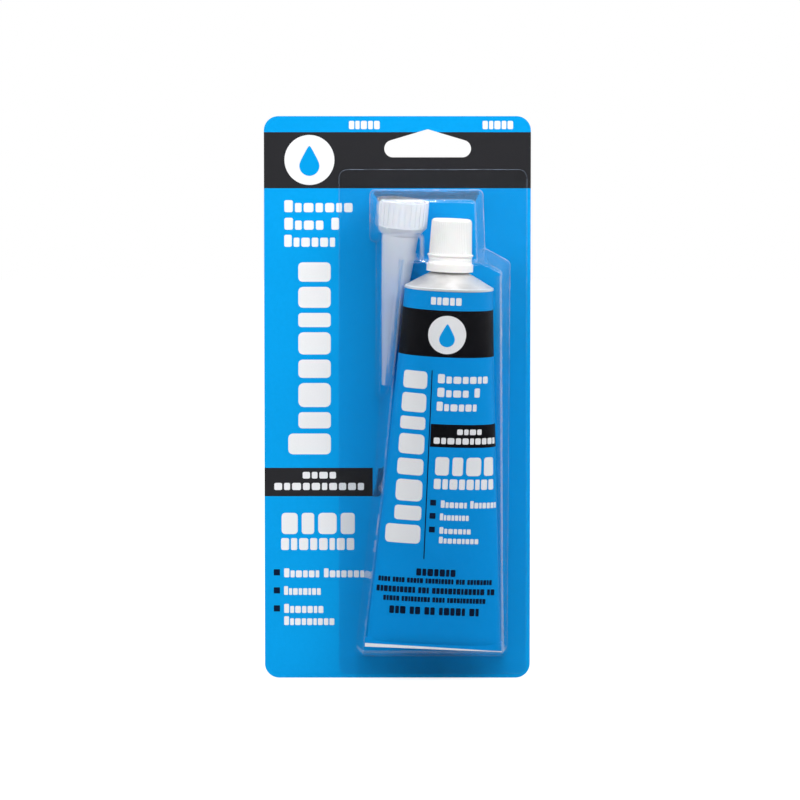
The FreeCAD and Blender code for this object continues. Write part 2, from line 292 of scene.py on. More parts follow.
class Graph(Nodes):
    """A material's nodes, with one Principled shader."""

    def __init__(self, name: str) -> None:
        """Start an empty material.

        Args:
            name: the material's name.
        """
        self.material = bpy.data.materials.new(name)
        self.material.use_nodes = True
        super().__init__(self.material.node_tree)
        self.shader = self.node("BsdfPrincipled")
        self.output = self.node("OutputMaterial", {0: self.shader.outputs[0]})

    def over_clear(self, share: Socket, tint: object) -> Material:
        """Let the Principled shader show in part and light pass for the rest.

        Args:
            share: how much of the shader shows.
            tint: the colour of the light that passes.

        Returns:
            The material.
        """
        clear = self.node("BsdfTransparent", {"Color": tint}).outputs[0]
        joined = self.node("MixShader", {0: share, 1: clear, 2: self.shader.outputs[0]})
        self.feed(self.output.inputs[0], joined.outputs[0])
        return self.material

    def finish(self, **sockets: object) -> Material:
        """Set the Principled shader's sockets.

        Args:
            sockets: values or links by socket name, with _ for a space.

        Returns:
            The material.
        """
        for key, value in sockets.items():
            self.feed(self.shader.inputs[key.replace("_", " ")], value)
        return self.material


@dataclass(frozen=True)
class PrintedBoard:
    """The card's finish: print under varnish on the front, bare pulp at the cut edges, and a coated back."""

    strip_foot: float = -1.15
    band_foot: float = -24.45
    low_band: Point = (-153.1, -141.2)
    low_band_right: float = -22.9
    front: float = -0.55
    back: float = -0.05
    pulp: Colour = (0.62, 0.60, 0.56)
    coated: Colour = (0.80, 0.80, 0.79)
    mottle: Noise = Noise(0.9, 4.0, 0.7)
    mottle_share: Point = (0.0, 0.6)
    fibre: Noise = Noise(2.2, 3.0, 0.6, relief=0.000012)
    warp: Noise = Noise(0.035, 1.0, relief=0.0006)
    varnish: Noise = Noise(0.25)
    roughness: Point = (0.40, 0.50)
    grey_ink: Colour = (0.16, 0.19, 0.24)
    grey_share: float = 0.8
    line_pitch: float = 2.6
    line_share: Point = (0.25, 0.68)
    lines_between_gaps: float = 8.0
    words: Noise = Noise(0.42, 1.0)
    words_over: float = 0.46
    row_shift: float = 7.3
    columns: tuple[Point, Point] = ((-60.0, -15.5), (-9.5, 34.5))
    panel: Point = (-171.6, -39.0)
    box: tuple[Point, Point] = ((-60.0, 34.5), (-216.0, -182.0))
    box_hollow: tuple[Point, Point] = ((-59.4, 33.9), (-215.4, -182.6))

    def back_colour(self, graph: Graph, along: list[Socket]) -> Socket:
        """Draw the back: a blue head strip, a plain frame and rows of fine grey blocks.

        Args:
            graph: the material's tree.
            along: the surface point's X, Y and Z in millimetres.

        Returns:
            The colour.
        """
        across, _, height = along
        rows = graph.math("DIVIDE", height, self.line_pitch)
        shift = graph.times(graph.math("FLOOR", rows), self.row_shift)
        word_place = graph.node("CombineXYZ", {"X": across, "Y": shift}).outputs[0]
        words = graph.math("GREATER_THAN", graph.noise(word_place, self.words), self.words_over)
        columns = graph.math("ADD", *(graph.between(across, *column) for column in self.columns))
        gaps = graph.math("FRACT", graph.math("DIVIDE", height, self.line_pitch * self.lines_between_gaps))
        text = graph.times(columns, graph.between(gaps, 0.0, 1 - 1 / self.lines_between_gaps),
                           graph.between(height, *self.panel))
        lines = graph.times(graph.between(graph.math("FRACT", rows), *self.line_share), words, text)
        colour = graph.mix(graph.times(lines, self.grey_share), self.coated, self.grey_ink)
        box, hollow = (graph.times(graph.between(across, *wide), graph.between(height, *high))
                       for wide, high in (self.box, self.box_hollow))
        colour = graph.mix(graph.math("SUBTRACT", box, hollow), colour, self.grey_ink)
        return graph.mix(graph.math("GREATER_THAN", height, self.band_foot), colour, Ink.BLUE.value)

    def make(self) -> Material:
        """Build the material."""
        graph = Graph("printed_board")
        point = graph.place()
        along = graph.split(point)
        across, depth, height = along
        dark = graph.between(height, self.band_foot, self.strip_foot)
        left = graph.math("LESS_THAN", across, self.low_band_right)
        low = graph.times(graph.between(height, *self.low_band), left)
        mottle = graph.noise(point, self.mottle, self.mottle_share)
        blue = graph.mix(mottle, Ink.BLUE.value, Ink.BLUE_LIGHT.value)
        fields = graph.mix(graph.math("MAXIMUM", dark, low), blue, Ink.BLACK.value)
        colour = graph.mix(graph.math("LESS_THAN", depth, self.front), self.pulp, fields)
        behind = graph.math("GREATER_THAN", depth, self.back)
        colour = graph.mix(behind, colour, self.back_colour(graph, along))
        warp = graph.uneven(point, self.fibre, self.warp)
        rough = graph.noise(point, self.varnish, self.roughness)
        return graph.finish(Base_Color=colour, Roughness=rough, Normal=warp, Specular_IOR_Level=0.07)


@dataclass(frozen=True)
class FlatInk:
    """An ink of the print, a little uneven."""

    ink: Ink
    grain: Noise = Noise(1.6, 3.0, 0.6)
    evenness: Point = (0.965, 1.0)
    fibre: Noise = Noise(2.2, 3.0, 0.6, relief=0.000010)

    def make(self) -> Material:
        """Build the material."""
        graph = Graph("ink_" + self.ink.name.lower())
        point = graph.place()
        colour = graph.mix(graph.noise(point, self.grain, self.evenness), (0.0, 0.0, 0.0), self.ink.value)
        return graph.finish(Base_Color=colour, Roughness=0.45, Normal=graph.uneven(point, self.fibre),
                            Specular_IOR_Level=0.07)


@dataclass(frozen=True)
class ClearSheet:
    """The formed sheet: clear, faintly blue, mirror-like at a shallow angle, and wavy from its forming, with
    painted sheen on its upper part and right-hand walls and a painted highlight down its right front bend.
    """

    head_on: float = 0.022
    grazing: float = 0.90
    grazing_power: float = 3.6
    tint: Colour = (0.997, 0.998, 1.0)
    bonded: Colour = (0.985, 0.994, 1.0)
    bonded_back: float = -1.1
    polish: float = 0.09
    # Painted sheen: the sheet's diffuse share is raised on its upper part and its right-hand walls, where
    # they catch the light, and kept faint elsewhere.
    haze_and_sheen: float = 0.09
    top_sheen_rise: Point = (-44.0, -38.0)
    top_haze_and_sheen: Point = (0.15, 1.0)
    right_sheen_across: Point = (-12.0, 8.0)
    right_sheen_rise: Point = (-96.0, -62.0)
    right_haze_and_sheen: Point = (0.22, 1.0)
    foot_frost: Point = (-216.9, -215.6)
    foot_milk: float = 0.55
    # Painted highlight: a pale band down the right front bend, where that side catches the light.
    side_glint_band: Point = (26.4, 29.2)
    side_glint_share: float = 0.3
    side_glint_rise: Point = (-216.0, -60.0)
    side_end: float = 29.7
    side_slant: float = 0.0113
    side_slant_from: float = -63.0
    frost_and_glint_back: float = -2.0
    frost_and_glint_share: float = 0.24
    frost_and_glint_matt: float = 0.5
    wave: Noise = Noise(0.16, relief=0.00035)
    ripple: Noise = Noise(0.55, relief=0.00003)

    def frost_and_glint(self, graph: Graph, along: list[Socket]) -> Socket:
        """Mark where the sheet is pale: the foot's front bend, which turned milky as it was formed, and the
        right front bend, a painted highlight where that side catches the light.

        Args:
            graph: the material's tree.
            along: the surface point's X, Y and Z in millimetres.

        Returns:
            0 where it is clear, up to 1 at the milky foot and at the painted highlight.
        """
        across, depth, height = along
        proud = graph.math("LESS_THAN", depth, self.frost_and_glint_back)
        foot = graph.times(graph.between(height, *self.foot_frost), self.foot_milk)
        # Painted highlight: the pale band down the right front bend, where that side catches the light; the
        # foot's band is milky from forming.
        level = graph.math("ADD", across, -self.side_slant_from * self.side_slant)
        slanted = graph.math("MULTIPLY_ADD", height, self.side_slant, level)
        side = graph.times(graph.span(slanted, self.side_glint_band, (0.0, self.side_glint_share), smooth=True),
                           graph.between(height, *self.side_glint_rise),
                           graph.math("LESS_THAN", slanted, self.side_end))
        return graph.times(graph.math("MAXIMUM", foot, side), proud)

    def make(self) -> Material:
        """Build the material."""
        graph = Graph("clear_sheet")
        point = graph.place()
        along = graph.split(point)
        across, depth, height = along
        facing = graph.node("LayerWeight", {"Blend": 0.5}).outputs["Facing"]
        shallow = graph.math("POWER", facing, self.grazing_power)
        share = graph.math("MULTIPLY_ADD", shallow, self.grazing, self.head_on)
        frost_and_glint = self.frost_and_glint(graph, along)
        share = graph.math("MULTIPLY_ADD", frost_and_glint, self.frost_and_glint_share, share, clamp=True)
        # Painted sheen: more diffuse on the upper part and on the right-hand walls, where they catch the
        # light; faint elsewhere.
        left = graph.span(height, self.top_sheen_rise, self.top_haze_and_sheen)
        right = graph.times(graph.span(across, self.right_sheen_across),
                            graph.span(height, self.right_sheen_rise, self.right_haze_and_sheen))
        haze_and_sheen = graph.times(graph.math("MAXIMUM", left, right), self.haze_and_sheen)
        dull = graph.math("MULTIPLY_ADD", frost_and_glint, self.frost_and_glint_matt, haze_and_sheen)
        mirror = graph.math("SUBTRACT", 1.0, dull)
        ripple = graph.uneven(point, self.wave, self.ripple)
        graph.finish(Base_Color=(0.97, 0.98, 1.0), Metallic=mirror, Roughness=self.polish, Normal=ripple)
        flange = graph.math("GREATER_THAN", depth, self.bonded_back)
        return graph.over_clear(share, graph.mix(flange, self.tint, self.bonded))


@dataclass(frozen=True)
class SheetEdgeGlint:
    """The sheet's turned and cut edges: pale where light gathers in them, dim at the pocket's shaded foot."""

    pale: Colour = (0.62, 0.74, 0.95)
    clear: Colour = (0.98, 0.99, 1.0)
    share: float = 0.42
    breaks: Noise = Noise(0.18)
    evenness: Point = (0.45, 1.0)
    top_rise: Point = (-44.0, -38.0)
    low_rise: Point = (-100.0, -62.0)
    far_across: Point = (-22.0, 5.0)
    far_side: Point = (0.3, 1.0)
    foot_line: Point = (-216.0, -212.0)
    foot_share: Point = (0.3, 1.0)
    rim_line: float = -222.5

    def make(self) -> Material:
        """Build the material."""
        graph = Graph("sheet_edge_glint")
        point = graph.place()
        across, _, height = graph.split(point)
        # Painted highlight: strongest on the upper edges and the right-hand ones, where light falls, and
        # dimmed at the pocket's shaded foot.
        high = graph.span(height, self.top_rise)
        right = graph.times(graph.span(across, self.far_across, self.far_side),
                            graph.span(height, self.low_rise, self.far_side))
        foot = graph.math("MAXIMUM", graph.span(height, self.foot_line, self.foot_share),
                          graph.math("LESS_THAN", height, self.rim_line))
        seen = graph.times(graph.noise(point, self.breaks, self.evenness),
                           graph.math("MAXIMUM", high, right), foot, self.share)
        graph.finish(Base_Color=self.pale, Roughness=0.25, Specular_IOR_Level=0.5)
        return graph.over_clear(seen, self.clear)


@dataclass(frozen=True)
class TubeSkinFinish:
    """The tube's finish: lacquered print on the body, bare soft metal on its shoulder, and a pale fold."""

    origin: Vector
    turn: Euler
    print_top: float = -0.9
    band: Point = (-27.9, -8.65)
    side_band: Point = (-65.3, -55.7)
    side_band_left: float = -5.25
    fold_top: float = -150.5
    fold_slant: float = 0.022
    edge_top: float = 0.3
    bare_edge: Colour = (0.88, 0.89, 0.90)
    dull_metal: Colour = (0.57, 0.56, 0.55)
    bright_metal: Colour = (0.80, 0.79, 0.78)
    mottle: Noise = Noise(0.8, 3.0, 0.6)
    mottle_share: Point = (0.0, 0.6)
    turning: Noise = Noise(3.0, 3.0, 0.7, relief=0.00002)
    turning_share: float = 0.3
    wear: Noise = Noise(0.11)
    wear_spread: Point = (0.35, 0.6)
    wear_share: float = 0.7
    dent: Noise = Noise(0.05, 1.0, relief=0.0007)
    peel: Noise = Noise(0.6, relief=0.00001)
    roughness: Point = (0.42, 0.38)

    def make(self) -> Material:
        """Build the material."""
        graph = Graph("tube_skin")
        point = graph.place(self.origin, self.turn)
        across, depth, height = graph.split(point)
        side = graph.times(graph.between(height, *self.side_band), graph.math("LESS_THAN", depth, 0.0),
                           graph.math("GREATER_THAN", across, self.side_band_left))
        dark = graph.math("MAXIMUM", graph.between(height, *self.band), side)
        mottle = graph.noise(point, self.mottle, self.mottle_share)
        blue = graph.mix(mottle, Ink.TUBE_BLUE.value, Ink.TUBE_BLUE_LIGHT.value)
        colour = graph.mix(dark, blue, Ink.TUBE_BLACK.value)
        bare = graph.math("GREATER_THAN", height, self.print_top)
        squares = graph.math("ADD", graph.math("POWER", across, 2.0), graph.math("POWER", depth, 2.0))
        ring = graph.node("CombineXYZ", {"X": graph.math("SQRT", squares), "Y": graph.times(height, 0.5)})
        turned = graph.noise(ring.outputs[0], self.turning)
        worn = graph.span(graph.noise(point, self.wear), self.wear_spread)
        patches = graph.math("MULTIPLY_ADD", worn, self.wear_share,
                             graph.span(turned, graph.noise_spread, (0.0, self.turning_share)))
        colour = graph.mix(bare, colour, graph.mix(patches, self.dull_metal, self.bright_metal))
        slanted = graph.math("MULTIPLY_ADD", across, self.fold_slant, height)
        fold = graph.math("LESS_THAN", slanted, self.fold_top)
        edge = graph.between(height, self.print_top, self.edge_top)
        colour = graph.mix(graph.math("MAXIMUM", fold, edge), colour, self.bare_edge)
        peel = graph.uneven(point, self.dent, self.peel)
        lines = graph.bump(graph.times(turned, bare), self.turning.relief, peel)
        rough = graph.span(bare, (0.0, 1.0), self.roughness)
        return graph.finish(Base_Color=colour, Metallic=graph.times(bare, 0.5), Roughness=rough,
                            Normal=lines, Specular_IOR_Level=0.05)


@dataclass(frozen=True)
class Moulded:
    """A plastic, foam or plain metal: an even colour with a faint cloud, and a fine matt grain."""

    name: str
    colour: Colour
    shade: Colour
    roughness: float
    grain: Noise = Noise(5.0, relief=0.000012)
    under: float = 0.0
    cloud: Noise = Noise(0.12)

    def make(self) -> Material:
        """Build the material."""
        graph = Graph(self.name)
        point = graph.place()
        colour = graph.mix(graph.noise(point, self.cloud, (0.0, 1.0)), self.colour, self.shade)
        return graph.finish(Base_Color=colour, Roughness=self.roughness, Subsurface_Weight=self.under,
                            Normal=graph.uneven(point, self.grain), Subsurface_Scale=0.002,
                            Specular_IOR_Level=0.4)


CAP_PLASTIC = Moulded("cap_plastic", (0.965, 0.955, 0.94), (0.945, 0.935, 0.92), 0.5, under=0.15)
LINER_FOAM = Moulded("liner_foam", (0.82, 0.82, 0.80), (0.74, 0.74, 0.72), 0.9, Noise(5.0, relief=0.00006))
BARE_METAL = Moulded("bare_metal", (0.66, 0.65, 0.63), (0.74, 0.73, 0.71), 0.35)


@dataclass(frozen=True)
class NaturalPlastic:
    """The nozzle's finish: milky uncoloured plastic, which lets more through towards its thin tip, its colour
    painted darker and bluer there for shade and the card's blue light.
    """

    origin: Vector
    turn: Euler
    length: float = 77.8
    milk: Colour = (0.91, 0.93, 0.965)
    # Painted tip colour: darker and bluer, standing in for shade and the card's blue light; the cloud uses it
    # too.
    thin: Colour = (0.60, 0.73, 0.98)
    clear: Colour = (0.90, 0.94, 0.98)
    painted_tip_shade_rise: Point = (-42.0, -6.0)
    body: Point = (0.62, 1.0)
    cloud: Noise = Noise(0.25)
    cloud_share: float = 0.25
    surface: Noise = Noise(1.2, relief=0.00002)

    def make(self) -> Material:
        """Build the material."""
        graph = Graph("natural_plastic")
        point = graph.place(self.origin, self.turn)
        height = graph.split(point)[2]
        # Painted shade and light: the colour turns darker and bluer towards the tip, for the channel's shade
        # and the card's blue light through the thin walls.
        colour = graph.mix(graph.span(height, self.painted_tip_shade_rise), self.thin, self.milk)
        cloud = graph.times(graph.noise(point, self.cloud, (0.0, 1.0)), self.cloud_share)
        graph.finish(Base_Color=graph.mix(cloud, colour, self.thin), Roughness=0.38,
                     Normal=graph.uneven(point, self.surface), Subsurface_Weight=0.12,
                     Subsurface_Scale=0.002, Specular_IOR_Level=0.4)
        return graph.over_clear(graph.span(height, (-self.length, 0.0), self.body), self.clear)


@dataclass(frozen=True)
class Row:
    """A row of plain blocks: its place on the flat print, each word's count, and whether all stand tall."""

    left: float
    right: float
    top: float
    foot: float
    words: tuple[int, ...]
    caps: bool = False
    upward: bool = False


@dataclass(frozen=True)
class Tile:
    """A round-cornered block of print."""

    left: float
    right: float
    foot: float
    top: float
    corner: float


class FlatPrint:
    """Print as thin film, drawn flat with X across and Z up in millimetres, then laid on a surface."""

    block_rhythm = (1.0, 0.82, 1.12, 0.9, 1.05, 0.74, 1.0, 0.94)
    rhythm_step = 3
    gap_share = 0.20
    word_gap = 0.55
    small_share = 0.76
    corner_share = 0.22
    widest_corner = 1 / 2.2
    drop_waist = 0.55
    drop_point = 0.95
    upright = Matrix.Rotation(math.pi / 2, 4, "X")
    sunk = 0.03

    def __init__(self, film: float) -> None:
        """Start with nothing drawn.

        Args:
            film: how far the print stands out.
        """
        self.film = film
        self.mesh = bmesh.new()

    def tile(self, tile: Tile) -> None:
        """Draw one block.

        Args:
            tile: its place and its corner.
        """
        wide, high = tile.right - tile.left, tile.top - tile.foot
        centre = Vector(((tile.left + tile.right) / 2, 0, (tile.foot + tile.top) / 2))
        shape = Matrix.Translation(centre) @ Matrix.Diagonal((wide, 1, high, 1)) @ self.upright
        made = bmesh.ops.create_grid(self.mesh, x_segments=1, y_segments=1, size=0.5, matrix=shape)
        corner = min(tile.corner, wide * self.widest_corner, high * self.widest_corner)
        bmesh.ops.bevel(self.mesh, geom=made["verts"], offset=corner, segments=3, affect="VERTICES",
                        profile=0.5, material=-1)

    def row(self, row: Row) -> None:
        """Draw a row of blocks.

        Args:
            row: its place and its words.
        """
        run, rise = row.right - row.left, row.top - row.foot
        if row.upward:
            run, rise = rise, run
        pieces: list[tuple[float, bool]] = []
        for word, count in enumerate(row.words):
            if word:
                pieces.append((self.word_gap, False))
            rhythm = [self.block_rhythm[(word * self.rhythm_step + step) % len(self.block_rhythm)]
                      for step in range(count)]
            pieces.extend((width, True) for width in rhythm)
        unit = run / sum(width for width, _ in pieces)
        here, first = 0.0, True
        for width, solid in pieces:
            if solid:
                half_gap = unit * self.gap_share / 2
                low, high = here + half_gap, here + width * unit - half_gap
                tall = rise if first or row.caps else rise * self.small_share
                corner = min(tall, high - low) * self.corner_share
                if row.upward:
                    self.tile(Tile(row.right - tall, row.right, row.foot + low, row.foot + high, corner))
                else:
                    self.tile(Tile(row.left + low, row.left + high, row.foot, row.foot + tall, corner))
            first = not solid
            here += width * unit

    def disc(self, centre: Point, radius: float, segments: int = 48) -> list[bmesh.types.BMVert]:
        """Draw a disc.

        Args:
            centre: its middle.
            radius: its radius.
            segments: how many sides it has.

        Returns:
            Its corners.
        """
        shape = Matrix.Translation(Vector((centre[0], 0, centre[1]))) @ self.upright
        return bmesh.ops.create_circle(self.mesh, cap_ends=True, segments=segments, radius=radius,
                                       matrix=shape)["verts"]

    def drop(self, centre: Point, radius: float) -> None:
        """Draw a drop with its point up.

        Args:
            centre: the middle of its round end.
            radius: the round end's radius.
        """
        for vertex in self.disc(centre, radius, 40):
            rise = (vertex.co.z - centre[1]) / radius
            if rise > 0:
                vertex.co.x = centre[0] + (vertex.co.x - centre[0]) * (1 - rise ** 2 * self.drop_waist)
                vertex.co.z = centre[1] + radius * (rise + rise ** 2 * self.drop_point)

    def cut(self, pitch: float) -> None:
        """Divide the blocks, so that they can follow a curved surface.

        Args:
            pitch: the cuts' spacing.
        """
        for axis in (0, 2):
            values = [vertex.co[axis] for vertex in self.mesh.verts]
            normal = Vector((1, 0, 0)) if axis == 0 else Vector((0, 0, 1))
            for step in range(math.floor(min(values) / pitch), math.ceil(max(values) / pitch)):
                every = self.mesh.verts[:] + self.mesh.edges[:] + self.mesh.faces[:]
                place = normal * (step + 0.5) * pitch
                bmesh.ops.bisect_plane(self.mesh, geom=every, plane_co=place, plane_no=normal)

    def lay(self, name: str, on: Surface, material: Material, slot: str) -> None:
        """Make the print an object on its surface.

        Args:
            name: the piece's name.
            on: gives a flat point's place.
            material: its ink.
            slot: the record's material slot, not used.
        """
        bmesh.ops.recalc_face_normals(self.mesh, faces=self.mesh.faces[:])
        turned = [face for face in self.mesh.faces if face.normal.y > 0]
        bmesh.ops.reverse_faces(self.mesh, faces=turned)
        bmesh.ops.solidify(self.mesh, geom=self.mesh.faces[:], thickness=self.film + self.sunk)
        outermost = min(vertex.co.y for vertex in self.mesh.verts)
        for vertex in self.mesh.verts:
            lift = self.film - (vertex.co.y - outermost)
            vertex.co = on(vertex.co.x, vertex.co.z, lift) * MM
        add_piece(name, self.mesh, material)


def link_mesh(name: str, mesh: bmesh.types.BMesh, material: Material) -> bpy.types.Object:
    """Make an object of a bmesh and link it to the scene.

    Args:
        name: the object's name.
        mesh: its shape in metres, which is used up.
        material: its finish.

    Returns:
        The object.
    """
    data = bpy.data.meshes.new(name)
    mesh.to_mesh(data)
    mesh.free()
    data.materials.append(material)
    made = bpy.data.objects.new(name, data)
    bpy.context.scene.collection.objects.link(made)
    return made


def add_piece(name: str, mesh: bmesh.types.BMesh, material: Material,
              smooth_angle: float = 0.0) -> bpy.types.Object:
    """Make an object of a bmesh and let it ride on the pack.

    Args:
        name: the piece's name.
        mesh: its shape in metres, which is used up.
        material: its finish.
        smooth_angle: edges under this angle are shaded smooth, in degrees.

    Returns:
        The piece.
    """
    limit = math.radians(smooth_angle)
    for edge in mesh.edges:
        edge.smooth = len(edge.link_faces) == 2 and edge.calc_face_angle(math.pi) <= limit
    for face in mesh.faces:
        face.smooth = smooth_angle > 0
    piece = link_mesh(name, mesh, material)
    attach(piece, "pack")
    LOG.info("%s: %d faces", name, len(piece.data.polygons))
    return piece


def dress(node: str, material: Material) -> None:
    """Give a CAD node its finish.

    Args:
        node: the node's name.
        material: its finish.
    """
    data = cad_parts[node].data
    data.materials.clear()
    data.materials.append(material)
    LOG.info("%s: dressed as %s", node, material.name)


def on_card(across: float, height: float, lift: float) -> Vector:
    """Place a point of the flat print on the card's front, in millimetres.

    Args:
        across: its X.
        height: its Z.
        lift: how far it stands out.

    Returns:
        The place.
    """
    return Vector((across, CARD_FRONT - lift, height))


class TubeSurface:
    """The tube's skin, unrolled: a point is its height and its way round from the front's middle line."""

    half_steps = 60
    reach = 60.0

    def __init__(self, place: Matrix, node: str) -> None:
        """Read the tube's own mesh.

        Args:
            place: the tube's axes in the frame, in millimetres.
            node: its CAD node.
        """
        self.place = place
        shape = bmesh.new()
        shape.from_mesh(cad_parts[node].data)
        bmesh.ops.transform(shape, matrix=place.inverted() @ Matrix.Scale(1 / MM, 4), verts=shape.verts[:])
        self.tree = BVHTree.FromBMesh(shape)
        shape.free()
        self.sections: dict[float, Section] = {}

    def reach_to(self, start: Vector, way: Vector) -> tuple[Vector, Vector]:
        """Find the skin from inside.

        Args:
            start: a point within the tube.
            way: the direction to look in.

        Returns:
            The skin's point and its outward normal.
        """
        point, normal, _, _ = self.tree.ray_cast(start, way.normalized(), self.reach)
        if point is None:
            return start, way.normalized()
        return point, normal if normal.dot(way) > 0 else -normal

    def section(self, height: float) -> Section:
        """List points round the front half at a height.

        Args:
            height: the height below the rim.

        Returns:
            Way round from the middle line, point and normal, in order.
        """
        key = round(height, 1)
        if key not in self.sections:
            axis = Vector((0, 0, key))
            wide = self.reach_to(axis, Vector((1, 0, 0)))[0].x
            deep = -self.reach_to(axis, Vector((0, -1, 0)))[0].y
            found = []
            for step in range(-self.half_steps, self.half_steps + 1):
                angle = step / self.half_steps * math.pi / 2
                way = Vector((wide * math.sin(angle), -deep * math.cos(angle), 0))
                found.append(self.reach_to(axis, way))
            ways = [0.0]
            for (before, _), (after, _) in zip(found, found[1:]):
                ways.append(ways[-1] + (after - before).length)
            middle = ways[self.half_steps]
            self.sections[key] = [(way - middle, point, normal) for way, (point, normal) in zip(ways, found)]
        return self.sections[key]

    def on(self, across: float, height: float, lift: float) -> Vector:
        """Place a point of the flat print on the skin, in millimetres.

        Args:
            across: its way round from the middle line, to the right.
            height: its height below the rim.
            lift: how far it stands out.

        Returns:
            The place in the frame.
        """
        rows = self.section(height)
        after = next((index for index, row in enumerate(rows) if row[0] >= across), len(rows) - 1)
        before = max(after - 1, 0)
        length = max(rows[after][0] - rows[before][0], 1e-6)
        share = min(max((across - rows[before][0]) / length, 0.0), 1.0)
        point = rows[before][1].lerp(rows[after][1], share)
        normal = rows[before][2].lerp(rows[after][2], share).normalized()
        return self.place @ (Vector((point.x, point.y, height)) + normal * lift)


@dataclass(frozen=True)
class PrintWork:
    """A piece's print: white rows and a disc, dark marks, and a blue drop on the disc."""

    name: str
    rows: tuple[Row, ...]
    badge: Point
    badge_radius: float
    drop: Point
    drop_radius: float
    bullets: tuple[Point, ...]
    bullet_size: float
    bullet_corner: float = 0.2
    dark_rows: tuple[Row, ...] = ()
    dark_tiles: tuple[Tile, ...] = ()
    film: float = 0.03
    badge_film: float = 0.06
    cut_pitch: float = 0.0

    def lay(self, on: Surface) -> None:
        """Draw the print and lay it in its three inks.

        Args:
            on: gives a flat point's place.
        """
        white, dark, blue = FlatPrint(self.film), FlatPrint(self.film), FlatPrint(self.badge_film)
        for row in self.rows:
            white.row(row)
        white.disc(self.badge, self.badge_radius)
        half = self.bullet_size / 2
        for across, height in self.bullets:
            dark.tile(Tile(across - half, across + half, height - half, height + half, self.bullet_corner))
        for row in self.dark_rows:
            dark.row(row)
        for tile in self.dark_tiles:
            dark.tile(tile)
        blue.drop(self.drop, self.drop_radius)
        for part, flat, ink in (("print_white", white, Ink.WHITE), ("print_dark", dark, Ink.NAVY),
                                ("badge_drop", blue, Ink.BLUE)):
            if self.cut_pitch:
                flat.cut(self.cut_pitch)
            flat.lay(f"{self.name}_{part}", on, FlatInk(ink).make(), self.name)


CARD_PRINT = PrintWork(
    name="card",
    rows=(
        Row(-33.0, -19.7, 3.5, 0.1, (5,), caps=True),
        Row(22.6, 35.8, 3.5, 0.1, (5,), caps=True),
        Row(-60.1, -30.8, -29.4, -34.4, (7,)),
        Row(-60.1, -36.5, -36.7, -41.7, (4, 1)),
        Row(-60.1, -38.2, -43.8, -48.8, (6,)),
        Row(-58.2, -40.4, -54.2, -136.6, (8,), upward=True),
        Row(-52.6, -37.9, -142.9, -145.7, (4,), caps=True),
        Row(-64.5, -26.2, -147.5, -150.5, (10,), caps=True),
        Row(-61.9, -29.6, -160.1, -169.0, (4,), caps=True),
        Row(-61.7, -30.3, -170.7, -175.7, (8,), caps=True),
        Row(-60.3, -26.2, -183.4, -187.2, (6, 7)),
        Row(-60.3, -44.5, -190.9, -194.6, (8,)),
        Row(-60.3, -43.4, -198.4, -202.2, (7,)),
        Row(-60.3, -38.8, -203.6, -207.3, (9,)),
    ),
    badge=(-49.2, -12.7), badge_radius=10.4, drop=(-49.2, -15.1), drop_radius=4.2,
    bullets=((-63.1, -185.1), (-63.1, -192.7), (-63.1, -200.3)), bullet_size=2.6,
)
TUBE_PRINT = PrintWork(
    name="tube",
    rows=(
        Row(-7.8, 5.4, -3.3, -6.4, (5,), caps=True),
        Row(-3.5, 19.7, -34.8, -38.6, (7,)),
        Row(-3.5, 15.4, -40.5, -44.3, (4, 1)),
        Row(-3.5, 14.0, -46.3, -50.1, (6,)),
        Row(-22.6, -7.6, -33.2, -107.4, (8,), upward=True),
        Row(5.4, 16.8, -57.6, -59.9, (4,), caps=True),
        Row(-4.1, 25.0, -61.3, -63.9, (10,), caps=True),
        Row(-3.4, 23.8, -69.4, -77.1, (4,), caps=True),
        Row(-3.3, 23.5, -78.6, -82.9, (8,), caps=True),
        Row(0.1, 25.2, -87.6, -90.7, (6, 7)),
        Row(0.0, 12.3, -93.1, -96.0, (8,)),
        Row(0.0, 13.4, -98.9, -101.7, (7,)),
        Row(0.0, 16.8, -103.0, -105.8, (9,)),
    ),
    badge=(-0.2, -18.6), badge_radius=7.9, drop=(-0.2, -20.4), drop_radius=3.2,
    bullets=((-2.9, -88.7), (-2.9, -94.3), (-2.9, -100.1)), bullet_size=2.4,
    dark_rows=(
        Row(-8.8, 7.9, -116.9, -119.9, (7,), caps=True),
        Row(-24.6, 23.3, -121.0, -123.1, (4, 4, 5, 9, 3, 8), caps=True),
        Row(-25.2, 24.6, -124.9, -127.4, (10, 3, 13, 2), caps=True),
        Row(-22.0, 20.8, -129.0, -131.1, (5, 9, 4, 12), caps=True),
        Row(-19.3, 18.3, -133.3, -136.5, (3, 2, 2, 5, 2), caps=True),
    ),
    dark_tiles=(Tile(-5.9, -5.5, -112.7, -33.5, 0.05),), film=0.09, badge_film=0.135, cut_pitch=1.5,
)


